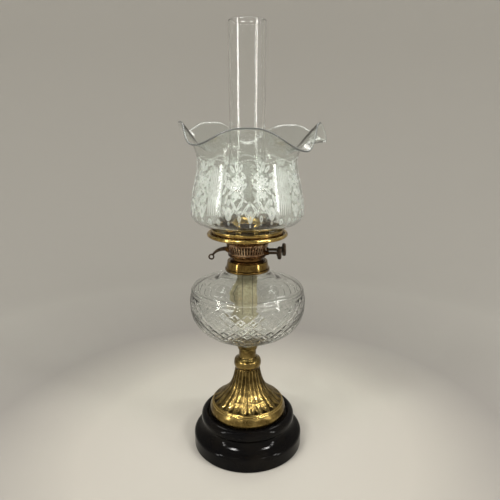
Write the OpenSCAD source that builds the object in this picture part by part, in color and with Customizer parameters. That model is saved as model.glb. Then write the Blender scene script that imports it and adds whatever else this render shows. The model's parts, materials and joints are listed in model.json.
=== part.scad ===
// Duplex table oil lamp: glazed base, pressed brass stem, glass font,
// twin-wick burner with a lever extinguisher, chimney and crimped shade.
// Z is up, the lamp stands on Z = 0, and its axis is the Z axis.
// The winder knobs point along +X and the extinguisher lever along -X.

/* [Base and stem] */
// Radius of the glazed base at its foot
base_r = 86; // [84:1:92]
// Height of the seat on the base that carries the stem
base_h = 54; // [52:1:60]
// Radius of the brass foot at its rim
foot_r = 60.3; // [59:0.1:61]
// Height of the pressed brass stem
stem_h = 76.3; // [74:0.1:90]

/* [Font] */
// Largest radius of the glass font
font_r = 87.5; // [85:0.5:95]
// Height of the font from its cup to its collar
font_h = 120.5; // [118:0.5:126]

/* [Burner] */
// Width of each flat wick
wick_w = 28.5; // [24:0.5:28.5]
// Distance of each wick from the lamp's axis
wick_y = 5; // [5:0.1:5.2]
// Places for air slots around the basket
slot_count = 46; // [32:2:48]
// Radius of the winder knobs
knob_r = 9.7; // [8:0.1:9.8]
// Reach of the front knob from the lamp's axis
knob_front_x = 42.8; // [40:0.1:46]
// Reach of the rear knob from the lamp's axis
knob_rear_x = 50.8; // [50:0.1:58]

/* [Chimney and shade] */
// Height of the chimney above its seat
chimney_h = 287; // [254:1:305]
// Radius of the chimney at its mouth
chimney_top_r = 25.9; // [24:0.1:28]
// Radius of the chimney at its fitter
chimney_fit_r = 31.75; // [31.5:0.05:31.8]
// Radius of the shade at its neck
shade_fit_r = 50.8; // [50:0.1:51]
// Largest radius of the shade's body
shade_r = 82; // [78:0.5:86]
// Mean radius of the crimped rim
rim_r = 104; // [98:0.5:110]
// Height of the crimped rim's mean line above the shade's foot
rim_h = 143; // [136:1:150]

/* [Hidden] */
$fn = 96;

// Colours
brass = "#b8923f";
dark_brass = "#8a6a35";
bronze = "#4a3c2c";
copper_brass = "#a9784e";
steel = "#8d8f91";
black_glaze = "#0c0c0e";
clear_glass = [0.86, 0.90, 0.88, 0.35];
frosted_glass = [0.92, 0.94, 0.93, 0.6];
plaster = "#d9d4c8";
cotton = "#d8cda8";

// Levels, from the surface that the lamp stands on
seat_z = base_h;
knop_z = seat_z + stem_h;
knop_h = 17;
neck_z = knop_z + knop_h;
neck_h = 8.7;
cup_z = neck_z + neck_h;
cup_h = 12.5;
font_z = cup_z + cup_h;
collar_z = font_z + font_h;
lip_z = collar_z + 15;
deck_z = lip_z + 7.4;
deck_t = 1.4;
axle_z = deck_z + 5.6;
basket_z = deck_z + 3.2;
cone_z = basket_z + 17.2;
plate_z = lip_z + 40.2;
plate_t = 1.2;
glass_z = plate_z + plate_t;

// Stem and base
rod_r = 3;
base_wall = 5;
spun_wall = 1.4;
tier_r = base_r - 12.2;
knop_r = 21.3;
cup_bore_r = 12.3;
peg_r = 10.5;

// Collar and burner
neck_r = 28;
lip_r = 24.7;
lip_t = 1.6;
drum_r = 23.6;
twist = 30;
lug_w = 6.8;
deck_r = 27.2;
tube_wall = 0.8;
wick_t = 2.2;
tube_in = [wick_w + 1.2, wick_t + 0.8];
tube_out = tube_in + 2 * [tube_wall, tube_wall];
tube_top = glass_z + 15.6;
tube_base = lip_z - 4;
sleeve_in = tube_out + [0.6, 0.6];
sleeve_out = sleeve_in + [1.3, 1.6];
sleeve_z = plate_z - 4.2;
sleeve_h = 18.8;
spindle_y = wick_y + 5;
spindle_r = 2.1;
journal_r = 1.8;
running = 0.06;
bush_r = 3.4;
wheel_r = 3.6;
wheel_t = 1.2;
wheel_xs = [-9, 0, 9];
bracket_x = -20.5;
bracket_t = 1.6;
ring_r = 56.7;
ring_t = 2.8;

// Extinguisher
pivot_x = -29.5;
pivot_z = axle_z + 3.6;
pin_r = 1.2;
hub_r = 3.3;
hub_w = 5.2;
ear_t = 1.4;
nose_x = pivot_x + 14;
nose_r = 1.3;
eye = [-53.6, axle_z - 8.4];

// Glass
chimney_wall = 2.2;
shade_wall = 2.4;
waist_r = shade_r - 11;
waist_h = rim_h - 39;

// The hand-crimped rim, from crest to hollow and round again: the angle from
// the front towards +X, and the radius and height beyond the rim's mean line
crimps = [
    [0, -1, 6], [42, 9, -22], [74, 0, 13], [100, 11, -13], [139, -2, 10],
    [180, 1, -11], [216, -9, 14], [252, -8, 0], [288, -7, 14.5], [323.5, 8, -13.7],
    [360, -1, 6]
];

// Points on an arc about c, from angle a to angle b
function arc(c, r, a, b, n = 6) =
    [for (i = [0:n]) let (t = a + (b - a) * i / n) c + r * [cos(t), sin(t)]];

// Points on a cubic curve that leaves a towards b and reaches d from c
function curve(a, b, c, d, n = 8) =
    [for (i = [0:n]) let (t = i / n, s = 1 - t)
        s * s * s * a + 3 * s * s * t * b + 3 * s * t * t * c + t * t * t * d];

// A list of points in reverse order
function back(p) = [for (i = [len(p) - 1:-1:0]) p[i]];

// The direction square to an outline at point i, on its left
function across(p, i) =
    let (d = p[min(i + 1, len(p) - 1)] - p[max(i - 1, 0)]) [-d[1], d[0]] / norm(d);

// An outline moved d to its left, never past the axis
function beside(p, d) =
    [for (i = [0:len(p) - 1]) let (q = p[i] + d * across(p, i)) [max(q[0], 0), q[1]]];

// An outline moved d towards the axis
function inward(p, d) = [for (q = p) [q[0] - d, q[1]]];

// A band along p whose half width runs from w0 to w1
function band(p, w0, w1) =
    let (n = len(p) - 1, w = [for (i = [0:n]) w0 + (w1 - w0) * i / n])
    concat(
        [for (i = [0:n]) p[i] + w[i] * across(p, i)],
        [for (i = [n:-1:0]) p[i] - w[i] * across(p, i)]);

// A solid turned from an outline, at height z
module turned(p, z = 0) {
    translate([0, 0, z]) rotate_extrude() polygon(p);
}

// A wall of even thickness turned from an outline that runs upwards
module spun(p, wall, z = 0) {
    turned(concat(p, back(beside(p, wall))), z);
}

// A round bead about the axis
module bead(r, z, w) {
    translate([0, 0, z]) rotate_extrude() translate([r, 0]) circle(w, $fn = 32);
}

// A flat-sided tube or bar centred on the line y
module upright(size, y, z, h) {
    translate([0, y, z + h / 2]) cube([size[0], size[1], h], center = true);
}

// A round bar along X
module bar_x(r, x0, x1, y, z) {
    translate([x0, y, z]) rotate([0, 90, 0]) cylinder(h = x1 - x0, r = r);
}

// A round bar along Y, centred on y = 0
module bar_y(r, w, x, z) {
    translate([x, 0, z]) rotate([90, 0, 0]) cylinder(h = w, r = r, center = true);
}

// ---- base and stem ----

module ceramic_base() {
    roll = 6;
    waist = tier_r - 5.5;
    inner_r = base_r - 7;
    tier_in = waist - base_wall;
    color(black_glaze) turned(concat(
        arc([base_r - 2.5, 2.5], 2.5, -90, 0, 4),
        arc([base_r - roll, base_h - 35], roll, 0, 75),
        curve([base_r - 5, base_h - 28.8], [tier_r, base_h - 26.5],
            [waist + 0.8, base_h - 21], [waist, base_h - 15.5]),
        [[tier_r - 4.5, base_h - 12]],
        arc([tier_r - 3, base_h - 8], 3, -60, 0, 4),
        arc([tier_r - 8, base_h - 5.4], 8, 0, 90, 10),
        [[foot_r + 3.9, base_h + 1.8], [foot_r + 1.9, base_h], [rod_r + 1, base_h]],
        [[rod_r + 1, base_h - base_wall]],
        arc([tier_in - 3, base_h - base_wall - 3], 3, 90, 0, 4),
        curve([tier_in, base_h - 16], [tier_in + 1, base_h - 25],
            [inner_r - 2, base_h - 31], [inner_r, base_h - 38]),
        [[inner_r, 0]]));
}

module base_washer() {
    color(steel) turned([[rod_r, -2], [32, -2], [32, 0], [rod_r, 0]], base_h - base_wall);
}

module tie_nut() {
    nut_h = 5;
    color(steel) translate([0, 0, base_h - base_wall - 2 - nut_h]) difference() {
        cylinder(h = nut_h, r = 5.8, $fn = 6);
        translate([0, 0, -1]) cylinder(h = nut_h + 2, r = rod_r);
    }
}

module tie_rod() {
    bottom = base_h - base_wall - 10;
    color(steel) translate([0, 0, bottom]) cylinder(h = cup_z + 1.5 - bottom, r = rod_r);
}

// The rim's roll, the flared leaf zone and the fluted cone, as one pressing
function stem_outline() = concat(
    curve([foot_r - 0.9, 0], [foot_r + 0.9, 3], [foot_r + 0.4, 11], [foot_r - 4.1, 16.6], 9),
    [[foot_r - 5.4, 18.8]],
    curve([foot_r - 6.7, 21], [foot_r - 11.3, 22.2], [foot_r - 16.8, 26], [foot_r - 20.8, 31.5]),
    curve([foot_r - 22.4, 32.8], [26.5, 42], [22.2, 53], [18.6, stem_h], 10));

module foot_shell() {
    color(brass) {
        spun(stem_outline(), spun_wall, seat_z);
        bead(foot_r - 4.2, seat_z + 17.6, 1);
        bead(foot_r - 6.1, seat_z + 19.8, 0.9);
    }
}

module stem_knop() {
    color(brass) turned(concat(
        [[rod_r, 0], [18.6, 0], [19.4, 1.6]],
        curve([knop_r - 1.2, 2.4], [knop_r + 0.5, 4.5], [knop_r + 0.5, 10.5],
            [knop_r - 1.6, 13.6]),
        [[17, 14.6], [14.4, knop_h], [rod_r, knop_h]]), knop_z);
}

module stem_neck() {
    color(brass) turned([
        [rod_r, 0], [13.4, 0], [14.2, 0.9], [13.6, 1.9], [13.4, neck_h], [rod_r, neck_h]
    ], neck_z);
}

module font_cup() {
    color(brass) turned(concat(
        [[rod_r, 0], [13.4, 0], [13.6, 5.2]],
        arc([14.4, 6.4], 0.9, -70, 60, 4),
        [[15.2, 8], [16.6, 9.8], [16.6, cup_h], [cup_bore_r, cup_h], [cup_bore_r, 1.5],
            [rod_r, 1.5]]),
        cup_z);
}

module cup_plaster() {
    color(plaster) turned([
        [0, 1.5], [cup_bore_r, 1.5], [cup_bore_r, cup_h],
        [peg_r, cup_h], [peg_r, 3.5], [0, 3.5]
    ], cup_z);
}

// ---- font ----

module glass_font() {
    wall = 4.5;
    shoulder = font_h - 30;
    in_r = font_r - wall;
    outer = concat(
        [[0, 3.5 - cup_h], [peg_r, 3.5 - cup_h], [peg_r, 0.2]],
        curve([15, 0.8], [33, 18.5], [font_r - 2, 16], [font_r - 0.5, shoulder - 21.5], 14),
        curve([font_r - 0.2, shoulder - 16], [font_r - 0.2, shoulder - 10],
            [font_r - 1.5, shoulder - 5], [font_r - 4.5, shoulder - 1.4], 5),
        arc([font_r - 4.6, shoulder + 0.2], 1.7, -60, 70, 5),
        curve([font_r - 4.8, shoulder + 3.5], [font_r - 4.8, shoulder + 7.5],
            [font_r - 10.5, shoulder + 9.5], [font_r - 23.5, shoulder + 11.8], 8),
        curve([font_r - 29, shoulder + 12.8], [50, shoulder + 14.6],
            [42, shoulder + 19.5], [neck_r + 4.5, font_h - 1.2], 7),
        [[neck_r, font_h], [neck_r, font_h + 9]]);
    inner = concat(
        [[0, 8.5]],
        curve([5, 8.5], [26, 20], [in_r - 4, 22], [in_r - 0.5, shoulder - 21.5], 12),
        curve([in_r - 0.2, shoulder - 15], [in_r - 0.2, shoulder - 10],
            [in_r - 1, shoulder - 4], [in_r - 2.6, shoulder], 5),
        curve([in_r - 3, shoulder + 2.5], [in_r - 4, shoulder + 4.5],
            [in_r - 10, shoulder + 6], [in_r - 21, shoulder + 7.4], 7),
        [[52, shoulder + 9.2], [42, shoulder + 14.5], [33, font_h - 5.6], [27, font_h - 4.4]],
        [[neck_r - 3.1, font_h - 2.4], [neck_r - 3.1, font_h + 9]]);
    color(clear_glass) turned(concat(outer, back(inner)), font_z);
}

// The collar's inside, from its foot to the underside of its lip
function collar_inside() = [[31, 0], [31, 3.6], [30.2, 4.6], [29.4, 9]];

module collar_plaster() {
    color(plaster) turned(concat([[neck_r, 0]], collar_inside(), [[neck_r, 9]]), collar_z);
}

module font_collar() {
    color(brass) difference() {
        turned(concat(
            arc([32.2, 1.3], 1.3, -90, 0, 4),
            arc([32.2, 2.8], 1.2, 0, 80, 4),
            curve([31.7, 4.6], [31.2, 8], [30.3, 12], [29.9, 14.2], 4),
            [[29.2, 15], [lip_r, 15], [lip_r, 15 - lip_t], [28.4, 15 - lip_t]],
            back(collar_inside())), collar_z);
        for (a = [twist, twist + 180]) rotate(a)
            translate([lip_r - 2, -lug_w / 2 - 0.6, lip_z - 3]) cube([5, lug_w + 1.2, 6]);
    }
}

// ---- burner body ----

module burner_drum() {
    skirt_r = lip_r - 0.4;
    color(dark_brass) {
        turned([
            [skirt_r - 1.4, -8], [skirt_r, -8], [skirt_r, 0], [26.2, 0], [26.2, 1.2],
            [24.6, 1.7], [drum_r, 2.6], [drum_r, deck_z - lip_z],
            [skirt_r - 1.4, deck_z - lip_z]
        ], lip_z);
        for (a = [0, 180]) rotate(a)
            translate([drum_r, -lug_w / 2, lip_z - lip_t - 2.8]) cube([3.4, lug_w, 2.5]);
    }
}

module burner_deck() {
    color(dark_brass) difference() {
        translate([0, 0, deck_z]) cylinder(h = deck_t, r = deck_r);
        for (side = [-1, 1]) upright(tube_out, side * wick_y, deck_z - 1, deck_t + 2);
    }
}

module basket_ring() {
    color(dark_brass) difference() {
        turned(concat(
            [[deck_r, 0]],
            curve([28.2, 0], [29.2, 0.8], [29.2, 2.4], [28.2, 3.2], 5),
            [[26.6, 3.2], [26.6, deck_t], [deck_r, deck_t]]), deck_z);
        for (side = [-1, 1]) bar_x(bush_r, 20, 36, side * spindle_y, axle_z);
    }
}

function basket_outline() = curve([27.6, 0], [28.2, 5.4], [30.4, 12.4], [32.8, 17.2], 6);

module air_basket() {
    step = 360 / slot_count;
    // slots stay clear of the spindle bushes and of the lever's window
    open = [for (i = [0:slot_count - 1]) let (a = i * step, b = min(a, 360 - a))
        if (!(b > 12 && b < 30) && b < 167) a];
    color(copper_brass) difference() {
        turned(concat(basket_outline(), back(inward(basket_outline(), 1))), basket_z);
        for (a = open) rotate(a)
            translate([24, -1.1, basket_z + 2.6]) cube([12, 2.2, 12]);
        for (side = [-1, 1]) bar_x(bush_r, 20, 36, side * spindle_y, axle_z);
        translate([-36, -hub_w / 2 - 0.1 - ear_t, pivot_z - 4.7])
            cube([14, hub_w + 0.2 + 2 * ear_t, 10]);
    }
}

module gallery_cone() {
    top = plate_z - cone_z;
    p = curve([32.8, 0], [33.4, 4.7], [36, top - 3.7], [39.5, top], 6);
    color(brass) turned(concat(p, back(inward(p, 1.2))), cone_z);
}

module gallery_plate() {
    color(brass) difference() {
        turned([[26.5, 0], [ring_r - ring_t, 0], [ring_r - ring_t, plate_t],
            [26.5, plate_t]], plate_z);
        for (a = [0:15:345]) rotate(a)
            translate([45.6, 0, plate_z - 1]) cylinder(h = plate_t + 2, r = 2.4);
    }
}

module shade_ring_outer() {
    color(brass) bead(ring_r, plate_z - 0.2, ring_t);
}

module shade_ring_inner() {
    color(brass) {
        turned([[51.5, 0], [52.6, 0], [52.6, 5.4], [51.5, 5.4]], glass_z);
        bead(52.4, glass_z + 5.9, 0.9);
    }
}

module gallery_web() {
    color(dark_brass) difference() {
        turned([[52.6, 0], [53.5, 0], [53.5, 3.2], [52.6, 3.2]], glass_z);
        for (a = [7.5:15:360]) rotate(a)
            translate([50, -2, glass_z + 0.8]) cube([6, 4, 1.6]);
    }
}

module chimney_prongs() {
    p = concat(
        [[chimney_fit_r + 0.4, 0]],
        curve([chimney_fit_r + 0.4, 10.6], [32.6, 14.6], [37, 17.6], [42, 21.1], 7));
    color(bronze) difference() {
        spun(p, -0.9, glass_z);
        for (a = [0:45:315]) rotate(a + 22.5)
            translate([30, -4, glass_z + 3]) cube([16, 8, 22]);
    }
}

module burner_dome() {
    p = concat(
        [[28.6, 0], [28.6, 1.2], [27.4, 1.8]],
        curve([27.2, 6.6], [27, 13.6], [20, 24.6], [0, 26.2], 10));
    slot = [wick_w + 2.3, wick_t + 2.6];
    color(brass) difference() {
        turned(concat(p, back(beside(curve([27.2, 6.6], [27, 13.6], [20, 24.6],
            [0, 26.2], 10), 0.9)), [[26.5, 1.8], [26.5, 0]]), glass_z);
        for (side = [-1, 1]) upright(slot, side * wick_y, glass_z + 12, 20);
    }
}

// A flat tube for one wick, with windows for the feed wheels on its outer side
module wick_tube(side) {
    color(copper_brass) difference() {
        upright(tube_out, side * wick_y, tube_base, tube_top - tube_base);
        upright(tube_in, side * wick_y, tube_base - 1, tube_top - tube_base + 2);
        for (x = wheel_xs)
            translate([x, side * (wick_y + tube_in[1] / 2 + 1), axle_z])
                cube([wheel_t + 0.8, 2.6, 8.2], center = true);
    }
}

module wick_tube_front() { wick_tube(-1); }
module wick_tube_rear() { wick_tube(1); }

module spindle_bracket() {
    z0 = deck_z + deck_t;
    color(dark_brass) difference() {
        translate([bracket_x, -13.5, z0]) cube([bracket_t, 27, axle_z + 4.4 - z0]);
        translate([bracket_x - 1, -3.2, z0 + 1.8]) cube([bracket_t + 2, 6.4, 12]);
        for (side = [-1, 1])
            bar_x(journal_r + running, bracket_x - 1, bracket_x + 3, side * spindle_y, axle_z);
    }
}

module spindle_bush(side) {
    color(dark_brass) difference() {
        bar_x(bush_r, 21.5, 31.5, side * spindle_y, axle_z);
        bar_x(spindle_r + running, 20, 33, side * spindle_y, axle_z);
    }
}

module spindle_bush_front() { spindle_bush(-1); }
module spindle_bush_rear() { spindle_bush(1); }

module lever_bracket() {
    inside = hub_w + 0.2;
    outside = inside + 2 * ear_t;
    color(dark_brass) difference() {
        union() {
            bar_y(3.6, outside, pivot_x, pivot_z);
            translate([pivot_x, -outside / 2, pivot_z - 4.7]) cube([3, outside, 8.3]);
        }
        translate([pivot_x - 6, -inside / 2, pivot_z - 3.7]) cube([12, inside, 12]);
        bar_y(pin_r, outside + 2, pivot_x, pivot_z);
    }
}

module lever_pin() {
    color(dark_brass) bar_y(pin_r, hub_w + 0.2 + 2 * ear_t, pivot_x, pivot_z);
}

// ---- winders ----

module winder_rod(side, x1) {
    y = side * spindle_y;
    color(dark_brass) {
        bar_x(journal_r, bracket_x - 0.4, bracket_x + 3, y, axle_z);
        bar_x(spindle_r, bracket_x + 3, x1 + 5.9, y, axle_z);
    }
}

// A dished disc with a milled edge
module winder_knob(side, x0) {
    color(bronze) translate([x0, side * spindle_y, axle_z]) rotate([0, 90, 0]) difference() {
        turned([
            [spindle_r, 0], [4.4, 0], [5, 1], [knob_r - 2.2, 1.2], [knob_r - 0.5, 2],
            [knob_r, 3.3], [knob_r, 5.1], [knob_r - 0.5, 6.4], [knob_r - 1.6, 6.9],
            [knob_r - 2.9, 6.1], [knob_r - 4.1, 4.5], [4.4, 4], [3.4, 5.2], [spindle_r, 5.4]
        ]);
        for (a = [0:15:345]) rotate(a)
            translate([knob_r + 0.25, 0, -1]) cylinder(h = 8, r = 0.6);
    }
}

// Toothed feed wheels, joined by their rod
module wick_wheels(side) {
    color(dark_brass) for (x = wheel_xs)
        translate([x - wheel_t / 2, side * spindle_y, axle_z]) rotate([0, 90, 0]) difference() {
            cylinder(h = wheel_t, r = wheel_r);
            translate([0, 0, -1]) cylinder(h = wheel_t + 2, r = spindle_r);
            for (a = [0:45:315]) rotate(a + 22.5)
                translate([wheel_r + 0.3, 0, -1]) cylinder(h = wheel_t + 2, r = 0.9);
        }
}

module winder_rod_front() { winder_rod(-1, knob_front_x); }
module winder_knob_front() { winder_knob(-1, knob_front_x); }
module wick_wheels_front() { wick_wheels(-1); }
module winder_rod_rear() { winder_rod(1, knob_rear_x); }
module winder_knob_rear() { winder_knob(1, knob_rear_x); }
module wick_wheels_rear() { wick_wheels(1); }

// ---- wicks ----

wick_top = tube_top + 2;

// A flat tape along a line in the XZ plane
module wick(side, line) {
    color(cotton) translate([0, side * wick_y + wick_t / 2, 0]) rotate([90, 0, 0])
        linear_extrude(wick_t) polygon(concat(
            [for (q = line) q + [wick_w / 2, 0]],
            [for (q = back(line)) q - [wick_w / 2, 0]]));
}

module wick_front() {
    wick(-1, [[0, wick_top], [0, font_z + 34]]);
}

module wick_rear() {
    wick(1, concat([[0, wick_top]],
        curve([0, collar_z - 2], [0, collar_z - 34], [-38, collar_z - 60],
            [-3, font_z + 30], 10)));
}

// ---- extinguisher ----

module extinguisher_lever() {
    arm = curve([pivot_x, pivot_z + 0.4], [pivot_x - 8.5, pivot_z + 0.9],
        [-46.5, pivot_z - 1.6], [eye[0] + 2.4, eye[1] + 3.6], 8);
    color(bronze) difference() {
        union() {
            translate([0, hub_w / 2, 0]) rotate([90, 0, 0])
                linear_extrude(hub_w) polygon(band(arm, 3.1, 1.4));
            bar_y(hub_r, hub_w, pivot_x, pivot_z);
            translate([eye[0], 0, eye[1]]) rotate([90, 0, 0])
                cylinder(h = 2.6, r = 4.6, center = true);
            translate([pivot_x, -1.2, pivot_z - nose_r]) cube([14, 2.4, 2 * nose_r]);
            bar_y(nose_r, 2.4, nose_x, pivot_z);
        }
        bar_y(pin_r + running, hub_w + 2, pivot_x, pivot_z);
        bar_y(2.4, hub_w + 2, eye[0], eye[1]);
    }
}

// A flat sleeve that slides up a wick tube and covers the flame
module snuffer_sleeve(side) {
    color(copper_brass) difference() {
        upright(sleeve_out, side * wick_y, sleeve_z, sleeve_h);
        upright(sleeve_in, side * wick_y, sleeve_z - 1, sleeve_h + 2);
    }
}

module snuffer_sleeve_front() { snuffer_sleeve(-1); }
module snuffer_sleeve_rear() { snuffer_sleeve(1); }

sleeve_gap = 2 * wick_y - sleeve_out[1];

module snuffer_link() {
    z0 = pivot_z + nose_r + 0.3;
    color(dark_brass) translate([nose_x - 1.4, -sleeve_gap / 2, z0])
        cube([2.8, sleeve_gap, sleeve_z + 6 - z0]);
}

module snuffer_bridge() {
    color(dark_brass) translate([12, -sleeve_gap / 2, sleeve_z + 1])
        cube([4, sleeve_gap, 5]);
}

// ---- glass ----

module chimney() {
    p = concat(
        [[chimney_fit_r, 0], [chimney_fit_r, 11.6]],
        curve([chimney_fit_r + 0.1, 12.6], [32, 19], [38.6, 24], [39.2, 34.6], 8),
        curve([39.2, 38], [38.6, 62], [26.4, 88], [chimney_top_r - 0.7, 125], 10),
        [[chimney_top_r - 0.8, 153], [chimney_top_r - 0.5, chimney_h - 72]],
        [[chimney_top_r, chimney_h]]);
    color(clear_glass) spun(p, chimney_wall, glass_z);
}

// The rim's [radius, height] at angle a; crests are broad and hollows tighter
function rim_at(a) =
    let (
        i = max([for (k = [0:len(crimps) - 2]) if (crimps[k][0] <= a) k]),
        crest = crimps[i % 2 == 0 ? i : i + 1],
        hollow = crimps[i % 2 == 0 ? i + 1 : i],
        u = (a - hollow[0]) / (crest[0] - hollow[0]),
        k = 1 - pow((1 + cos(180 * u)) / 2, 1.6),
        q = hollow + k * (crest - hollow))
    [rim_r + q[1], rim_h + q[2]];

// The shade's outer outline at angle a, from its neck to its rim
function shade_outline(a) =
    let (rim = rim_at(a), low = rim_h - 25)
    concat(
        [[shade_fit_r, 0], [shade_fit_r, 7.6]],
        curve([shade_fit_r + 0.8, 9.6], [56, 14], [shade_r - 1, 12], [shade_r, 33], 5),
        curve([shade_r - 0.3, 40], [shade_r - 1, 62], [waist_r, waist_h - 19],
            [waist_r, waist_h], 4),
        [for (t = [0.3, 0.55, 0.8, 1]) let (s = 1 - t)
            s * s * s * [waist_r, waist_h] + 3 * s * s * t * [waist_r, low]
            + 3 * s * t * t * [waist_r + (rim[0] - waist_r) * 0.45, (rim[1] + low) / 2 + 4]
            + t * t * t * rim]);

module shade() {
    steps = 54;
    loops = [for (j = [0:steps - 1])
        let (a = j * 360 / steps, p = shade_outline(a))
        [for (q = concat(p, back(beside(p, shade_wall))))
            [q[0] * sin(a), -q[0] * cos(a), q[1]]]];
    n = len(loops[0]);
    color(frosted_glass) translate([0, 0, glass_z]) polyhedron(
        points = [for (ring = loops) each ring],
        faces = [for (j = [0:steps - 1], i = [0:n - 1])
            let (a = j * n, b = ((j + 1) % steps) * n, m = (i + 1) % n)
            each [[a + i, b + i, b + m], [a + i, b + m, a + m]]]);
}

ceramic_base();
base_washer();
tie_nut();
tie_rod();
foot_shell();
stem_knop();
stem_neck();
font_cup();
cup_plaster();
glass_font();
collar_plaster();
font_collar();
burner_drum();
burner_deck();
basket_ring();
air_basket();
gallery_cone();
gallery_plate();
shade_ring_outer();
shade_ring_inner();
gallery_web();
chimney_prongs();
burner_dome();
wick_tube_front();
wick_tube_rear();
spindle_bracket();
spindle_bush_front();
spindle_bush_rear();
lever_bracket();
lever_pin();
winder_rod_front();
winder_knob_front();
wick_wheels_front();
winder_rod_rear();
winder_knob_rear();
wick_wheels_rear();
wick_front();
wick_rear();
extinguisher_lever();
snuffer_sleeve_front();
snuffer_sleeve_rear();
snuffer_link();
snuffer_bridge();
chimney();
shade();
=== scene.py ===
"""The looks of a duplex table oil lamp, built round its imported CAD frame.

The shade, chimney, font, pressed foot, wicks and extinguisher lever are new meshes.
Every other node keeps its CAD shape and gets its finish here. Outlines are in
millimetres and meshes in metres. Angles run from the front (-Y) towards +X.
"""

import json
import math

import bmesh
import bpy
import numpy as np
from mathutils import Matrix, Vector


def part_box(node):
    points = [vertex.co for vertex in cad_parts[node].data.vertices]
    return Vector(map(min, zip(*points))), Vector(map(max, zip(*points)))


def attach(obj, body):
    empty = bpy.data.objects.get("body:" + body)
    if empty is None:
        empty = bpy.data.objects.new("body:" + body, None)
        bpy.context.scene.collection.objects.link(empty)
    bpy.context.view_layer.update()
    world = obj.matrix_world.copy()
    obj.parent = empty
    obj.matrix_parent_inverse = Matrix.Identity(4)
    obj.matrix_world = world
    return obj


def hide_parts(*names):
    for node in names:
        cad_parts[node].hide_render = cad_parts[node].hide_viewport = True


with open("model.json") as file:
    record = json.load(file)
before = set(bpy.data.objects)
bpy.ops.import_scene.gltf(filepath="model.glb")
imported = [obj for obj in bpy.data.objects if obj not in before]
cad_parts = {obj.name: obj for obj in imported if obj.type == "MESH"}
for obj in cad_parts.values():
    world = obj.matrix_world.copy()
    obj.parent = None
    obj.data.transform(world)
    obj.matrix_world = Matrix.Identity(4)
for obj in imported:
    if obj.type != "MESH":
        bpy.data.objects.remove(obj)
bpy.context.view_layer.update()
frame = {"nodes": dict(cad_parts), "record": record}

MM = 0.001
TAU = 2 * math.pi


def low_z(node):
    """The lowest height of a CAD node, in millimetres."""
    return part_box(node)[0].z / MM


# ---- outlines: arrays of (radius, height), in millimetres ----

def arc(centre, radius, start, end, steps=8):
    """Points on an arc, from one angle in degrees to another."""
    t = np.radians(np.linspace(start, end, steps + 1))
    return np.column_stack([centre[0] + radius * np.cos(t), centre[1] + radius * np.sin(t)])


def curve(a, b, c, d, steps=24):
    """Points on a cubic curve that leaves a towards b and reaches d from c."""
    t = np.linspace(0, 1, steps + 1)[:, None]
    s = 1 - t
    a, b, c, d = (np.array(p, float) for p in (a, b, c, d))
    return s ** 3 * a + 3 * s * s * t * b + 3 * s * t * t * c + t ** 3 * d


def line_up(*parts):
    """One outline from several, without doubled points."""
    points = np.vstack([np.array(p, float).reshape(-1, 2) for p in parts])
    keep = np.r_[True, np.linalg.norm(np.diff(points, axis=0), axis=1) > 1e-4]
    return points[keep]


def spaced(points, step):
    """The same outline with its points step apart."""
    lengths = np.r_[0, np.cumsum(np.linalg.norm(np.diff(points, axis=0), axis=1))]
    count = max(int(round(lengths[-1] / step)), 1)
    at = np.linspace(0, lengths[-1], count + 1)
    return np.column_stack([np.interp(at, lengths, points[:, k]) for k in (0, 1)])


def outward(points):
    """The direction square to an upward outline at each point, away from the axis."""
    d = np.gradient(points, axis=0)
    n = np.column_stack([d[:, 1], -d[:, 0]])
    return n / np.maximum(np.linalg.norm(n, axis=1), 1e-9)[:, None]


def walled(outer, thick, step=None, rounding=6):
    """A closed outline: up the outside, over a rounded edge, down the inside and back."""
    inner = (outer - thick * outward(outer))[::-1]
    if step:
        inner = spaced(inner, step)

    def edge(start, end):
        middle, half = (start + end) / 2, (start - end) / 2
        out = np.array([-half[1], half[0]])
        t = np.linspace(0, math.pi, rounding + 2)[1:-1, None]
        return middle + half * np.cos(t) + out * np.sin(t)

    return np.vstack([outer, edge(outer[-1], inner[0]), inner, edge(inner[-1], outer[0])])


# ---- meshes ----

def skin(name, grid, wrap_rows=True, wrap_columns=True, attributes=None, plan=None):
    """A smooth mesh over a grid of points [column, row, xyz] in metres.

    attributes are named values per point; plan gives each point's (u, v), with one more
    column and row than the grid where it wraps."""
    columns, rows = grid.shape[:2]
    i, j = np.meshgrid(
        np.arange(columns if wrap_columns else columns - 1),
        np.arange(rows if wrap_rows else rows - 1), indexing="ij")
    i2, j2 = i + 1, j + 1
    corners = np.stack([
        (i % columns) * rows + j % rows, (i2 % columns) * rows + j % rows,
        (i2 % columns) * rows + j2 % rows, (i % columns) * rows + j2 % rows], axis=-1)
    mesh = bpy.data.meshes.new(name)
    mesh.from_pydata(grid.reshape(-1, 3).tolist(), [], corners.reshape(-1, 4).tolist())
    for key, values in (attributes or {}).items():
        layer = mesh.attributes.new(key, "FLOAT", "POINT")
        layer.data.foreach_set("value", values.reshape(-1).astype(np.float32))
    if plan is not None:
        uv = np.stack([plan[i, j], plan[i2, j], plan[i2, j2], plan[i, j2]], axis=-2)
        layer = mesh.uv_layers.new(name="plan")
        layer.data.foreach_set("uv", uv.reshape(-1).astype(np.float32))
    mesh.shade_smooth()
    mesh.update()
    piece = bpy.data.objects.new(name, mesh)
    bpy.context.scene.collection.objects.link(piece)
    return piece


def round_axis(outlines, angles, base):
    """Grid points for one outline per angle, standing at height base."""
    r, z = outlines[..., 0], outlines[..., 1] + base
    a = angles[:, None]
    return np.stack([r * np.sin(a), -r * np.cos(a), z], axis=-1) * MM


def turned(name, outline, base, columns):
    """A closed outline turned about the lamp's axis."""
    angles = np.linspace(0, TAU, columns, endpoint=False)
    grid = round_axis(np.repeat(outline[None], columns, axis=0), angles, base)
    return skin(name, grid)


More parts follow.
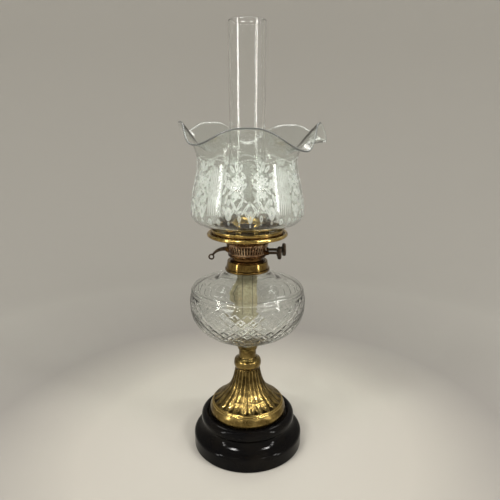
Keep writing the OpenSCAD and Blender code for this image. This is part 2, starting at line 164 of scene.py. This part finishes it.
def embossed(name, outer, thick, relief, base, columns, middle, polish):
    """A turned wall whose outside stands out by relief(angle, along) millimetres.

    The attribute relief is measured from the middle height where the wall is embossed,
    and polish is added to it, row by row, painting those rows brighter as a painted highlight."""
    angles = np.linspace(0, TAU, columns, endpoint=False)
    loop = walled(outer, thick, 2.0)
    normal = np.zeros_like(loop)
    normal[: len(outer)] = outward(outer)
    height = np.zeros((columns, len(loop)))
    height[:, : len(outer)] = relief(angles[:, None], np.arange(len(outer))[None])
    outlines = loop[None] + height[..., None] * normal[None]
    shown = height - middle * (height > 0).any(axis=0)
    shown[:, : len(outer)] += polish
    return skin(name, round_axis(outlines, angles, base), attributes={"relief": shown})


def place(piece, body, material, node):
    """Paints a piece, sets it on its body and lets it stand for a CAD node."""
    piece.data.materials.clear()
    piece.data.materials.append(material)
    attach(piece, body)
    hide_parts(node)
    return piece


# ---- material nodes ----

def new_material(name, **sockets):
    """A Principled material with the given constant sockets, underscores for spaces."""
    material = bpy.data.materials.new(name)
    material.use_nodes = True
    shader = material.node_tree.nodes["Principled BSDF"]
    for key, value in sockets.items():
        shader.inputs[key.replace("_", " ")].default_value = value
    return material, material.node_tree, shader


def add(tree, kind, inputs=None, **settings):
    """A new node; an input is a number or another node's output."""
    made = tree.nodes.new("ShaderNode" + kind)
    for key, value in settings.items():
        setattr(made, key, value)
    for key, value in (inputs or {}).items():
        if isinstance(value, bpy.types.NodeSocket):
            tree.links.new(value, made.inputs[key])
        else:
            made.inputs[key].default_value = value
    return made


def calc(tree, operation, a, b=0.0):
    """The output of a Math node."""
    return add(tree, "Math", {0: a, 1: b}, operation=operation).outputs[0]


def fade(tree, value, start, end, low=0.0, high=1.0):
    """Maps value from start..end to low..high."""
    return add(tree, "MapRange", {
        "Value": value, "From Min": start, "From Max": end, "To Min": low, "To Max": high,
    }).outputs["Result"]


def ramp(tree, value, *stops):
    """A colour that changes with value; stops are (position, (r, g, b))."""
    made = add(tree, "ValToRGB", {"Fac": value})
    steps = made.color_ramp.elements
    while len(steps) < len(stops):
        steps.new(0.5)
    for step, (position, colour) in zip(steps, stops):
        step.position = position
        step.color = (*colour, 1)
    return made.outputs["Color"]


def place_of(tree, scale=(1, 1, 1)):
    """The point on the object, stretched."""
    at = add(tree, "TexCoord").outputs["Object"]
    return add(tree, "Mapping", {"Vector": at, "Scale": scale}).outputs["Vector"]


def noise(tree, size_mm, detail=3.0, vector=None, rough=0.5):
    """Noise whose features are about size_mm across, from 0 to 1."""
    return add(tree, "TexNoise", {
        "Vector": vector or place_of(tree), "Scale": 1 / (size_mm * MM),
        "Detail": detail, "Roughness": rough}).outputs["Fac"]


def bumped(tree, shader, height, depth_mm, strength=1.0):
    """Adds small bumps to a shader."""
    made = add(tree, "Bump", {"Height": height, "Distance": depth_mm * MM, "Strength": strength})
    tree.links.new(made.outputs["Normal"], shader.inputs["Normal"])


def wire(tree, value, shader, socket):
    """Links a node's output to one of a shader's inputs."""
    tree.links.new(value, shader.inputs[socket])


# ---- materials ----

def brass(name, bright, dull, polish, marks=0.02):
    """Old lacquered brass: tarnish in clouds and in hollows, with fine turning marks."""
    material, tree, shader = new_material(name, Metallic=1.0)
    clouds = noise(tree, 14, 6, rough=0.62)
    specks = noise(tree, 1.6, 3)
    tarnish = calc(tree, "ADD", calc(tree, "MULTIPLY", clouds, 0.65),
                   calc(tree, "MULTIPLY", specks, 0.35))
    relief = add(tree, "Attribute", attribute_name="relief").outputs["Fac"]
    # raised embossing is lighter; on the foot's rings relief also carries a painted highlight
    tarnish_relief_and_painted_highlight = calc(tree, "ADD", tarnish, calc(tree, "MULTIPLY", relief, 0.34))
    wire(tree, ramp(tree, tarnish_relief_and_painted_highlight, (0.3, [c * 0.12 for c in dull]), (0.46, dull), (0.72, bright)),
         shader, "Base Color")
    wire(tree, fade(tree, tarnish_relief_and_painted_highlight, 0.3, 0.75, polish[1], polish[0]), shader, "Roughness")
    rings = noise(tree, 9, 2, place_of(tree, (0.3, 0.3, 22)))
    bumped(tree, shader, calc(tree, "ADD", rings, calc(tree, "MULTIPLY", specks, 0.5)), marks)
    return material


def patina(name, light, dark):
    """Dark bronzed metal, rubbed brighter in patches."""
    material, tree, shader = new_material(name, Metallic=1.0)
    clouds = noise(tree, 4, 6, rough=0.65)
    wire(tree, ramp(tree, clouds, (0.3, dark), (0.55, light), (0.75, [c * 1.7 for c in light])),
         shader, "Base Color")
    wire(tree, fade(tree, clouds, 0.3, 0.7, 0.55, 0.3), shader, "Roughness")
    bumped(tree, shader, noise(tree, 0.5, 3), 0.03)
    return material


def black_glaze():
    """Thick glossy glaze, a little wavy, with faint brown where it runs thin."""
    material, tree, shader = new_material("black_glaze", IOR=1.5, Specular_IOR_Level=0.09)
    clouds = noise(tree, 30, 5)
    wire(tree, ramp(tree, clouds, (0.35, (0.002, 0.002, 0.0025)), (0.75, (0.006, 0.005, 0.004))),
         shader, "Base Color")
    wire(tree, fade(tree, noise(tree, 3, 4), 0.3, 0.8, 0.05, 0.16), shader, "Roughness")
    bumped(tree, shader, noise(tree, 11, 2), 0.1, 0.5)
    return material


def steel():
    """Zinc-grey fixings with brushed wear."""
    material, tree, shader = new_material("steel", Metallic=1.0)
    clouds = noise(tree, 3, 5)
    wire(tree, ramp(tree, clouds, (0.3, (0.16, 0.15, 0.14)), (0.7, (0.42, 0.42, 0.42))),
         shader, "Base Color")
    wire(tree, fade(tree, clouds, 0.3, 0.7, 0.55, 0.3), shader, "Roughness")
    return material


def plaster():
    """Old setting plaster, chalky and pitted."""
    material, tree, shader = new_material("plaster", Roughness=0.9)
    clouds = noise(tree, 5, 5)
    wire(tree, ramp(tree, clouds, (0.3, (0.42, 0.38, 0.30)), (0.7, (0.68, 0.65, 0.57))),
         shader, "Base Color")
    bumped(tree, shader, noise(tree, 0.8, 4), 0.15)
    return material


def let_light_in(material, tree, shader, tint):
    """Lets lamps shine through a glass, so that what it holds is lit."""
    clear = add(tree, "BsdfTransparent", {"Color": (*tint, 1)})
    shadow = add(tree, "LightPath").outputs["Is Shadow Ray"]
    mixed = add(tree, "MixShader", {0: shadow, 1: shader.outputs[0], 2: clear.outputs[0]})
    tree.links.new(mixed.outputs[0], tree.nodes["Material Output"].inputs["Surface"])
    return material


def clear_glass(name, tint, waves=0.05, size=18):
    """Clear old glass with a faint tint, gentle waves and a little dust."""
    material, tree, shader = new_material(
        name, Base_Color=(*tint, 1), Transmission_Weight=1.0, IOR=1.5)
    wire(tree, fade(tree, noise(tree, 8, 5), 0.45, 0.8, 0.0, 0.07), shader, "Roughness")
    bumped(tree, shader, noise(tree, size, 2), waves, 0.6)
    return let_light_in(material, tree, shader, [c * 0.96 for c in tint])


PANELS = 5  # repeats of the etched design round the shade
PANEL_MM = 93.0  # the width of one


def petals_round(x, y, reach, long, wide, count, turn=90):
    """Petals of a flower about (x, y), as (x, y, angle, half length, half width)."""
    angles = [turn + 360 * k / count for k in range(count)]
    return [(x + reach * math.cos(math.radians(t)), y + reach * math.sin(math.radians(t)),
             t, long, wide) for t in angles]


def etched_figures():
    """One half panel of the etched design, in millimetres from the panel's middle and
    above the shade's foot: flowers, leaves, pendants, reeds and a beaded swag."""
    flowers = petals_round(16, 82, 5.0, 4.3, 2.5, 6) + petals_round(28.5, 78, 3.7, 3.2, 1.9, 5)
    flowers += petals_round(17, 64.5, 3.2, 2.8, 1.6, 5, 60)
    crown = [(12.5, 99, 112, 6.5, 2.3), (18, 101.5, 84, 7.0, 2.4), (24, 98, 55, 6.0, 2.2),
             (30, 91, 35, 5.0, 1.8)]
    leaves = [(8.5, 90, 55, 5.5, 1.9), (7.5, 76, 125, 6.0, 2.1), (23.5, 70, -52, 6.0, 2.0),
              (10, 67, 70, 5.5, 1.8), (33, 86, 78, 5.5, 1.6), (33, 70, -70, 5.5, 1.6)]
    scrolls = [(12.5, 53, 118, 10, 1.7), (20.5, 53, 62, 9, 1.5), (5.5, 48, -58, 9, 1.7),
               (7.5, 59, 40, 5, 1.4), (30, 60, 100, 7, 1.4)]
    pendants = [(26.5, 41, 90, 9.5, 4.2), (21.6, 44.5, 112, 7.5, 1.8), (31.4, 44.5, 68, 7.5, 1.8),
                (26.5, 56, 90, 4.5, 1.5), (26.5, 28.5, 90, 2.6, 1.3),
                (0, 37, 90, 8.5, 3.2), (4.2, 40, 62, 7.5, 1.7), (0, 25.5, 90, 2.4, 1.2),
                (13.2, 35, 90, 5.0, 2.0), (13.2, 27.5, 90, 1.5, 1.0), (40, 29, 90, 4.5, 2.4)]
    reeds = [(x, 68, 90, 34, 0.75) for x in (37.5, 40.5, 43.5, 46.4)]
    swag = [(x, 107.5 + 2.5 * math.cos(x / 46.5 * TAU), 0, 1.1, 1.1) for x in range(2, 47, 4)]
    return flowers + crown + leaves + scrolls + pendants + reeds + swag


def etched_glass():
    """Clear glass with the frosted design of flowers and reeds, and its rim painted paler
    and less clear as a painted sheen along the edge.
    """
    material, tree, shader = new_material("shade_glass", IOR=1.5)
    plan = add(tree, "UVMap", uv_map="plan").outputs["UV"]
    split = add(tree, "SeparateXYZ", {"Vector": plan})
    across = calc(tree, "FRACT", split.outputs["X"])
    across = calc(tree, "ABSOLUTE", calc(tree, "SUBTRACT", across, 0.5))
    point = add(tree, "CombineXYZ", {
        "X": calc(tree, "MULTIPLY", across, PANEL_MM), "Y": split.outputs["Y"]}).outputs["Vector"]
    nearest = None
    for x, y, turn, long, wide in etched_figures():
        local = add(tree, "Mapping", {
            "Vector": point, "Location": (x, y, 0), "Rotation": (0, 0, math.radians(turn)),
            "Scale": (long, wide, 1)}, vector_type="TEXTURE").outputs["Vector"]
        reach = add(tree, "VectorMath", {0: local}, operation="LENGTH").outputs["Value"]
        nearest = reach if nearest is None else calc(tree, "MINIMUM", nearest, reach)
    grain = noise(tree, 0.7, 3)
    edge = calc(tree, "ADD", nearest, calc(tree, "MULTIPLY", grain, 0.12))
    figure = fade(tree, edge, 0.98, 1.1, 1.0, 0.0)
    vein = fade(tree, edge, 0.32, 0.42, 0.45, 1.0)
    etched = calc(tree, "MULTIPLY", figure, vein)
    # the rim rows are painted pale: a painted sheen along the edge, not etching
    rim = add(tree, "Attribute", attribute_name="rim").outputs["Fac"]
    etching_and_painted_rim_sheen = calc(tree, "MAXIMUM", calc(tree, "MULTIPLY", etched, 0.6),
                  calc(tree, "MULTIPLY", rim, 0.4))
    wire(tree, fade(tree, etching_and_painted_rim_sheen, 0, 1, 0.02, 0.45), shader, "Roughness")
    wire(tree, fade(tree, etching_and_painted_rim_sheen, 0, 1, 1.0, 0.72), shader, "Transmission Weight")
    wire(tree, ramp(tree, etching_and_painted_rim_sheen, (0.0, (0.93, 0.955, 0.935)), (1.0, (0.76, 0.80, 0.75))),
         shader, "Base Color")
    bumped(tree, shader, grain, 0.02)
    return let_light_in(material, tree, shader, (0.93, 0.95, 0.94))


def woven_wick():
    """Cream woven tape with two dark marker threads, scorched at its top."""
    material, tree, shader = new_material("wick_cotton", Roughness=0.92)
    plan = add(tree, "UVMap", uv_map="plan").outputs["UV"]
    split = add(tree, "SeparateXYZ", {"Vector": plan})
    warp_mm, weft_mm, marker_mm = 1.1, 0.9, 7.6
    warp = calc(tree, "SINE", calc(tree, "MULTIPLY", split.outputs["X"], TAU / warp_mm))
    weft = calc(tree, "SINE", calc(tree, "MULTIPLY", split.outputs["Y"], TAU / weft_mm))
    weave = calc(tree, "MULTIPLY", warp, weft)
    clouds = noise(tree, 6, 5)
    cloth = ramp(tree, calc(tree, "ADD", clouds, calc(tree, "MULTIPLY", weave, 0.12)),
                 (0.3, (0.15, 0.13, 0.072)), (0.7, (0.29, 0.255, 0.165)))
    from_middle = calc(tree, "ABSOLUTE", split.outputs["X"])
    off_line = calc(tree, "ABSOLUTE", calc(tree, "SUBTRACT", from_middle, marker_mm))
    thread = fade(tree, off_line, 0.25, 0.6, 1.0, 0.0)
    burnt = fade(tree, calc(tree, "ADD", split.outputs["Y"], calc(tree, "MULTIPLY", clouds, 4)),
                 3.0, 7.0, 1.0, 0.0)
    dark = calc(tree, "MAXIMUM", thread, burnt)
    mixed = add(tree, "Mix", {
        "Factor": dark, 6: cloth, 7: (0.035, 0.028, 0.02, 1)}, data_type="RGBA")
    wire(tree, mixed.outputs[2], shader, "Base Color")
    bumped(tree, shader, weave, 0.25)
    return material


# ---- pieces ----

BLOWN = 2.2  # thickness of the shade's and the chimney's glass
WAIST = (71, 104)  # radius and height where the shade starts to flare
LIP_Z = 118  # height where the flare starts to open
RIM_R, RIM_Z = 102.5, 142  # the crimped rim's mean radius and height
FLARE_STEPS = 28
EDGE_POINTS = 5  # round the rim's edge
PANEL_TURN = 3 / 72  # the design is turned by 3 of a panel's 72 degrees


def shade(material):
    """The crimped shade, blown from its neck, over a rounded body, to five lobes."""
    # (angle in degrees, radius, height) of crests and hollows in turn, from the rim's means
    crimps = [(0, -1, 6), (42, 9, -22), (74, 0, 13), (100, 11, -13), (139, -2, 10),
              (180, 1, -11), (216, -9, 14), (252, -8, 0), (288, -7, 14.5),
              (323.5, 8, -13.7), (360, -1, 6)]

    def rim(angle):
        k = max(i for i in range(len(crimps) - 1) if crimps[i][0] <= angle)
        crest, hollow = (crimps[k], crimps[k + 1]) if k % 2 == 0 else (crimps[k + 1], crimps[k])
        u = (angle - hollow[0]) / (crest[0] - hollow[0])
        share = 1 - ((1 + math.cos(math.pi * u)) / 2) ** 1.6
        return (RIM_R + hollow[1] + share * (crest[1] - hollow[1]),
                RIM_Z + hollow[2] + share * (crest[2] - hollow[2]))

    def flare(r, z):
        waist = WAIST[0]
        opening = (waist + (r - waist) * 0.45, (z + LIP_Z) / 2 + 4)
        return curve(WAIST, (waist, LIP_Z), opening, (r, z), FLARE_STEPS)

    body = line_up(
        spaced(line_up([(50.8, 1.2), (50.8, 7.6)]), 1.2),
        curve((51.6, 9.6), (56, 14), (81, 12), (82, 33), 26),
        curve((81.7, 40), (81, 62), (WAIST[0], 85), WAIST, 26))
    columns = 480
    angles = np.linspace(0, TAU, columns, endpoint=False)
    sides = [np.vstack([body, flare(*rim(math.degrees(angle)))[1:]]) for angle in angles]
    loops = np.array([walled(side, BLOWN, rounding=EDGE_POINTS) for side in sides])
    top = len(body) + FLARE_STEPS
    # rows round the rim's edge, which the glass paints paler and less clear: a painted sheen
    painted_pale_rim_rows = np.zeros(loops.shape[:2])
    painted_pale_rim_rows[:, top - 1: top + EDGE_POINTS + 1] = 1
    rows = loops.shape[1]
    turn = np.arange(columns + 1) / columns * PANELS + 0.5 - PANEL_TURN
    plan = np.stack([
        np.repeat(turn[:, None], rows + 1, axis=1),
        np.take(np.vstack([loops[..., 1], loops[:1, :, 1]]), np.arange(rows + 1) % rows, axis=1),
    ], axis=-1)
    piece = skin("shade_blown", round_axis(loops, angles, low_z("shade")),
                 attributes={"rim": painted_pale_rim_rows}, plan=plan)
    return place(piece, "shade", material, "shade")


def chimney(material):
    """The drawn glass chimney, with a fire-polished mouth."""
    outer = line_up(
        spaced(line_up([(31.75, 1.1), (31.75, 11.6)]), 2),
        curve((31.85, 12.6), (32, 19), (38.6, 24), (39.2, 34.6), 20),
        curve((39.2, 38), (38.6, 62), (26.4, 88), (25.2, 125), 30),
        spaced(line_up([(25.1, 153), (25.4, 215), (25.9, 285.9)]), 6))
    piece = turned("chimney_drawn", walled(outer, BLOWN, rounding=7), low_z("chimney"), 200)
    return place(piece, "chimney", material, "chimney")


FONT_CUTS = 32  # lozenges round the font
CUT_COLUMNS = 12  # columns of the mesh to each
CUT_RISE = 0.84  # a lozenge's height over its width
GROOVE = 0.17  # a groove's width, as a share of a lozenge
GROOVE_DEPTH, HOLLOW_DEPTH = 1.3, 0.35  # of the grooves, and of each lozenge's middle
FONT_R = 87  # where the cuts have their full depth
CUT_TOP, CUT_FADE = 85, 5  # the height where they end, and over how much they fade


def font(material):
    """The glass font: cut lozenges below, a plain ridge, and a plain dome above."""
    columns = FONT_CUTS * CUT_COLUMNS
    step = TAU / columns
    below = line_up(
        curve((15, 0.8), (33, 18.5), (85.5, 16), (FONT_R, 69), 200),
        curve((87.3, 74.5), (87.3, 80.5), (86, 85.5), (83, 89.1), 40))
    above = line_up(
        arc((82.9, 90.7), 1.7, -60, 70, 10),
        spaced(curve((82.7, 94), (82.7, 98), (77, 100), (64, 102.3), 40), 1.2),
        spaced(curve((58.5, 103.3), (50, 105.1), (42, 110), (32.5, 119.3), 40), 1.6),
        spaced(line_up([(30, 120.1), (28.4, 120.5), (28, 121.5), (28, 128.9)]), 1.4))
    # rows lie so that the cuts run along the grid's diagonals
    length = np.r_[0, np.cumsum(np.linalg.norm(np.diff(below, axis=0), axis=1))]
    radius_twice = below[:-1, 0] + below[1:, 0]
    turns = np.r_[0, np.cumsum(np.diff(length) / (CUT_RISE * radius_twice / 2))]
    at = np.arange(0, turns[-1], step)
    cut = np.column_stack([np.interp(at, turns, below[:, k]) for k in (0, 1)])
    outer = line_up(cut, above)
    inner = line_up(
        curve((4, 8.5), (26, 20), (79, 22), (82.5, 69), 50),
        curve((82.8, 75.5), (82.8, 80.5), (82, 86.5), (80.4, 90.5), 12),
        curve((80, 93), (79, 95), (73, 96.5), (62, 97.9), 14),
        [(52, 99.7), (42, 105), (33, 114.9), (27, 116.1), (24.9, 118.1), (24.9, 128.9)])
    foot = line_up([(4, -8.7), (9.5, -8.7), (10.4, -7.9), (10.5, 0.2), (12.5, 0.6)])
    loop = np.vstack([foot, outer, [(27.2, 129.5), (25.7, 129.5)], inner[::-1]])
    angles = np.arange(columns) * step
    first, last = len(foot), len(foot) + len(cut)
    height = np.zeros((columns, len(loop)))
    a, q = angles[:, None], at[None]
    crossing = [np.abs((t * FONT_CUTS / TAU) % 1 - 0.5) for t in (a + q, a - q)]
    groove = np.clip((np.maximum(*crossing) - 0.5 + GROOVE) / GROOVE, 0, 1)
    pillow = (0.5 - crossing[0]) * (0.5 - crossing[1]) * 4
    fade_out = np.clip((CUT_TOP - cut[:, 1]) / CUT_FADE, 0, 1)
    depth = (cut[:, 0] / FONT_R * fade_out)[None]
    height[:, first:last] = (-GROOVE_DEPTH * groove - HOLLOW_DEPTH * pillow) * depth
    normal = np.zeros_like(loop)
    normal[first:last] = outward(cut)
    loops = loop[None] + height[..., None] * normal[None]
    piece = skin("font_blown", round_axis(loops, angles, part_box("font_cup")[1].z / MM))
    return place(piece, "root", material, "glass_font")


LEAVES = 24
LEAF_COLUMNS = 18  # columns of the mesh to each
RINGS_Z = (16.5, 20.8)  # the polished rings' lowest and highest points
FOOT_THICK = 0.9


def stem(material):
    """The pressed brass foot: rolled rim, two rings, a band of leaves and a fluted cone."""
    outer = line_up(
        spaced(curve((59.4, 0.7), (61.2, 3), (60.7, 11), (56.2, 16.6), 40), 0.8),
        arc((55.7, 17.6), 1.0, -40, 140, 8),
        arc((53.9, 19.8), 0.9, -20, 150, 8),
        spaced(line_up(
            curve((53.6, 21), (49, 22.2), (43.5, 26), (39.5, 31.5), 60),
            curve((39.5, 31.5), (26.5, 42), (22.2, 53), (18.6, 76.1), 60)), 0.62))
    begin = np.argmax((outer[:, 1] > 20.9) & (outer[:, 0] < 53.7))
    run = np.cumsum(np.r_[0, np.linalg.norm(np.diff(outer, axis=0), axis=1)])
    run = (run - run[begin]) / (run[-1] - run[begin])

    def relief(angle, row):
        # along runs from 0 at the leaves' foot to 1 at the cone's top, and across from 0
        # on a leaf's middle to 0.5 between two leaves
        r, along = outer[row[0], 0][None], run[row[0]][None]
        across = np.abs((angle * LEAVES / TAU) % 1 - 0.5)
        grown = np.clip(along / 0.1, 0, 1) ** 0.5
        narrowed = 1 - 0.25 * np.clip((along - 0.35) / 0.3, 0, 1)
        width = 0.44 * grown * narrowed
        lobe = np.sqrt(np.clip(1 - (across / np.maximum(width, 1e-3)) ** 2, 0, 1))
        leafy = np.clip(1 - along / 0.5, 0, 1) ** 0.5
        vein = np.exp(-(across / 0.05) ** 2)
        folds = (0.5 + 0.5 * np.cos(along * 95 - across * 26)) ** 2 * np.clip(across * 7, 0, 1)
        dart = np.exp(-((across - 0.5) / 0.05) ** 2) * np.clip((along - 0.08) * 9, 0, 1)
        flute = np.cos(across * 2 * TAU) * np.clip((along - 0.4) * 5, 0, 1)
        shape = lobe * (1.1 - (0.7 * vein + 0.75 * folds) * leafy) + 0.6 * dart + 0.3 * flute
        shape = np.clip(shape, 0, 2) * (along > 0) * np.clip((1 - along) / 0.04, 0, 1)
        return np.clip(r / 46, 0.5, 1) * shape

    # the two rings are polished brass, and are also painted brighter as a painted highlight
    rings_with_painted_highlight = (outer[:, 1] > RINGS_Z[0]) & (outer[:, 1] < RINGS_Z[1])
    piece = embossed("stem_pressed", outer, FOOT_THICK, relief, low_z("foot_shell"),
                     LEAVES * LEAF_COLUMNS, middle=0.5, polish=0.9 * rings_with_painted_highlight)
    return place(piece, "root", material, "foot_shell")


def tape(name, path, wide, thick, wave):
    """A flat tape hung along a path of (x, z), with rounded edges and a slight wave."""
    path = spaced(np.array(path, float), 1.2)
    section = [(wide / 2 * x, thick / 2 * y) for x, y in
               [(-1, -0.5), (-0.97, -0.9), (-0.9, -1)]
               + [(x / 10, -1) for x in range(-8, 9)]
               + [(0.9, -1), (0.97, -0.9), (1, -0.5), (1, 0.5), (0.97, 0.9), (0.9, 1)]
               + [(x / 10, 1) for x in range(8, -9, -1)]
               + [(-0.9, 1), (-0.97, 0.9), (-1, 0.5)]]
    section = np.array(section)
    down = np.r_[0, np.cumsum(np.linalg.norm(np.diff(path, axis=0), axis=1))]
    sway = wave * np.sin(down / 17) * np.clip((down - 70) / 30, 0, 1)
    x = path[:, 0][:, None] + section[:, 0][None]
    y = sway[:, None] + section[:, 1][None]
    z = np.repeat(path[:, 1][:, None], len(section), axis=1)
    grid = np.stack([x, y, z], axis=-1) * MM
    u = np.r_[section[:, 0], section[0, 0]]
    plan = np.stack(np.broadcast_arrays(u[None], down[:, None]), axis=-1)
    piece = skin(name, grid, wrap_columns=False, plan=plan)
    mesh = piece.data
    rows = len(section)
    ends = [list(range(rows)), list(range(len(mesh.vertices) - rows, len(mesh.vertices)))[::-1]]
    return piece, ends


WICK_WIDE, WICK_THICK = 28.5, 2.0


def wick(side, path, material):
    """One cotton wick, woven flat, hung in its tube."""
    name = "front" if side < 0 else "rear"
    lo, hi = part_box("wick_" + name)
    piece, ends = tape("wick_tape_" + name, path, WICK_WIDE, WICK_THICK, 0.35 * side)
    close_ends(piece, ends)
    piece.data.transform(Matrix.Translation((0, (lo.y + hi.y) / 2, 0)))
    place(piece, "wick_" + name, material, "wick_" + name)
    length = sum(math.dist(p, q) for p, q in zip(path, path[1:]))


def lever(material):
    """The cast extinguisher lever, its edges rounded as they left the sand."""
    node = frame["nodes"]["extinguisher_lever"]
    mesh = node.data.copy()
    mesh.transform(node.matrix_world)
    piece = bpy.data.objects.new("lever_cast", mesh)
    bpy.context.scene.collection.objects.link(piece)
    remesh = piece.modifiers.new("remesh", "REMESH")
    remesh.mode = "VOXEL"
    remesh.voxel_size = 0.28 * MM
    soft = piece.modifiers.new("soft", "SMOOTH")
    soft.factor = 0.6
    soft.iterations = 14
    shaped = piece.evaluated_get(bpy.context.evaluated_depsgraph_get())
    mesh = bpy.data.meshes.new_from_object(shaped)
    mesh.shade_smooth()
    piece.modifiers.clear()
    piece.data = mesh
    return place(piece, "lever", material, "extinguisher_lever")


def close_ends(piece, ends):
    """Closes the open ends of a tape with flat faces."""
    work = bmesh.new()
    work.from_mesh(piece.data)
    work.verts.ensure_lookup_table()
    for loop in ends:
        half = len(loop) // 2
        for k in range(half - 1):
            corners = [loop[k], loop[k + 1], loop[-2 - k], loop[-1 - k]]
            if len(set(corners)) == 4:
                work.faces.new([work.verts[c] for c in corners])
    bmesh.ops.recalc_face_normals(work, faces=work.faces)
    work.to_mesh(piece.data)
    work.free()


# ---- scene ----

FLAT_R = 900  # the paper lies flat up to here, then curves up to a wall twice as far out
LIGHTS = [  # name, place, width and height in metres, power in watts
    ("key_left", (-0.95, -1.0, 1.75), (0.8, 0.1), 23),
    ("key_right", (1.15, -0.95, 1.7), (0.8, 0.1), 21),
    ("top_back", (0.1, 1.2, 1.9), (1.6, 0.4), 10),
    ("far_left", (-0.6, -1.45, 0.95), (0.5, 0.03), 1.6),
    ("far_right", (0.75, -1.4, 0.95), (0.45, 0.03), 1.4),
    ("window_left", (-1.17, -0.7, 0.72), (0.1, 0.85), 5.5),
    ("window_right", (1.21, -0.65, 0.72), (0.1, 0.85), 5.5),
]
LAMP_MIDDLE = (0, 0, 0.3)


def studio():
    """A pale sweep of paper painted with light and shade: lighter near the lamp, darker
    further out and lighter again up the wall; soft lights, grey room.
    """
    sweep = line_up([(0.0, 0), (100, 0), (250, 0), (450, 0), (FLAT_R, 0)],
                    arc((FLAT_R, FLAT_R), FLAT_R, -90, 0, 16),
                    [(2 * FLAT_R, 1500), (2 * FLAT_R, 2300)])
    angles = np.linspace(0, TAU, 96, endpoint=False)
    loops = np.repeat(np.maximum(sweep, (0.01, 0))[None], len(angles), axis=0)
    floor = skin("floor", round_axis(loops, angles, 0)[:, ::-1], wrap_rows=False)
    material, tree, shader = new_material("floor_paper_painted_light", Roughness=0.85)
    split = add(tree, "SeparateXYZ", {"Vector": add(tree, "TexCoord").outputs["Object"]})
    level = add(tree, "CombineXYZ", {"X": split.outputs["X"], "Y": split.outputs["Y"]})
    away = add(tree, "VectorMath", {0: level.outputs["Vector"]}, operation="LENGTH")
    away = calc(tree, "ADD", away.outputs["Value"],
                calc(tree, "MULTIPLY", noise(tree, 260, 2), 0.05))
    # painted light and shade: a pool of light by the lamp, a darker band, a lighter wall
    wire(tree, ramp(tree, fade(tree, away, 0.1, 0.85),
                    (0.0, (0.47, 0.445, 0.40)), (0.25, (0.44, 0.415, 0.37)),
                    (0.5, (0.27, 0.255, 0.235)), (1.0, (0.36, 0.345, 0.315))),
         shader, "Base Color")
    floor.data.materials.append(material)
    world = bpy.data.worlds.new("room")
    world.use_nodes = True
    background = world.node_tree.nodes["Background"]
    background.inputs["Color"].default_value = (0.45, 0.44, 0.41, 1)
    background.inputs["Strength"].default_value = 0.46
    bpy.context.scene.world = world
    for row in LIGHTS:
        light(*row)


def light(name, place_at, size, power):
    """A soft rectangular light aimed at the middle of the lamp."""
    data = bpy.data.lights.new(name, "AREA")
    data.shape = "RECTANGLE"
    data.size, data.size_y = size
    data.energy = power
    data.color = (1.0, 0.985, 0.95)
    lamp = bpy.data.objects.new(name, data)
    lamp.location = place_at
    aim = Vector(LAMP_MIDDLE) - Vector(place_at)
    lamp.rotation_euler = aim.to_track_quat("-Z", "Y").to_euler()
    bpy.context.scene.collection.objects.link(lamp)


LENS_MM, SENSOR_MM = 35.06, 36
EYE = (0.00385, -0.700, 0.4983)
EYE_TILT = 75.62  # degrees up from looking straight down


def camera():
    """The photographer's place: level with the shade, looking a little down."""
    data = bpy.data.cameras.new("camera")
    data.lens = LENS_MM
    data.sensor_width = SENSOR_MM
    eye = bpy.data.objects.new("camera", data)
    eye.location = EYE
    eye.rotation_euler = (math.radians(EYE_TILT), 0, 0)
    bpy.context.scene.collection.objects.link(eye)
    bpy.context.scene.camera = eye


def main():
    scene = bpy.context.scene
    scene.view_settings.view_transform = "Standard"
    camera()
    studio()
    finishes = {
        "black_glaze": black_glaze(),
        "steel": steel(),
        "plaster": plaster(),
        "stem_brass": brass("stem_brass", (0.46, 0.335, 0.115), (0.14, 0.095, 0.03), (0.14, 0.34)),
        "collar_brass": brass(
            "collar_brass", (0.42, 0.29, 0.09), (0.12, 0.07, 0.02), (0.08, 0.2), 0.01),
        "burner_brass": brass(
            "burner_brass", (0.22, 0.125, 0.042), (0.07, 0.032, 0.011), (0.14, 0.34)),
        "gallery_brass": brass(
            "gallery_brass", (0.95, 0.70, 0.26), (0.36, 0.24, 0.07), (0.05, 0.2)),
        "copper_brass": brass(
            "copper_brass", (0.98, 0.76, 0.48), (0.30, 0.17, 0.09), (0.16, 0.3)),
        "bronze": patina("bronze", (0.075, 0.055, 0.038), (0.022, 0.017, 0.013)),
        "wick_cotton": woven_wick(),
        "font_glass": clear_glass("font_glass", (0.955, 0.975, 0.96)),
        "chimney_glass": clear_glass("chimney_glass", (0.985, 0.99, 0.985), 0.02, 40),
        "shade_glass": etched_glass(),
    }
    paint_frame(finishes)
    stem(finishes["stem_brass"])
    font(finishes["font_glass"])
    chimney(finishes["chimney_glass"])
    shade(finishes["shade_glass"])
    lever(finishes["bronze"])
    bottom, top = (corner.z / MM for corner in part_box("wick_front"))
    wick(-1, [(0, top), (0, bottom)], finishes["wick_cotton"])
    collar = low_z("font_collar")
    rear_end = low_z("wick_rear")
    bow = curve((0, collar - 2), (0, collar - 34), (-38, collar - 60), (-3, rear_end), 24)
    wick(1, [(0, top)] + bow.tolist(), finishes["wick_cotton"])


# nodes drawn in a finish other than the one that their material slot names; the wick tubes
# and the burner deck get dark bronze as painted shade inside the burner
OTHER_FINISH_AND_PAINTED_SHADE = {"burner_dome": "gallery_brass", "wick_tube_front": "bronze",
                "wick_tube_rear": "bronze", "burner_deck": "bronze"}


def paint_frame(finishes):
    """Gives every CAD node the finish of its material slot, or the other finish listed for it:
    dark bronze on the wick tubes and burner deck is painted shade inside the burner.
    """
    for row in frame["record"]["subparts"]:
        node = frame["nodes"][row["node"]]
        finish = OTHER_FINISH_AND_PAINTED_SHADE.get(row["node"], row["material_slot"])
        node.data.materials.clear()
        node.data.materials.append(finishes[finish])


main()
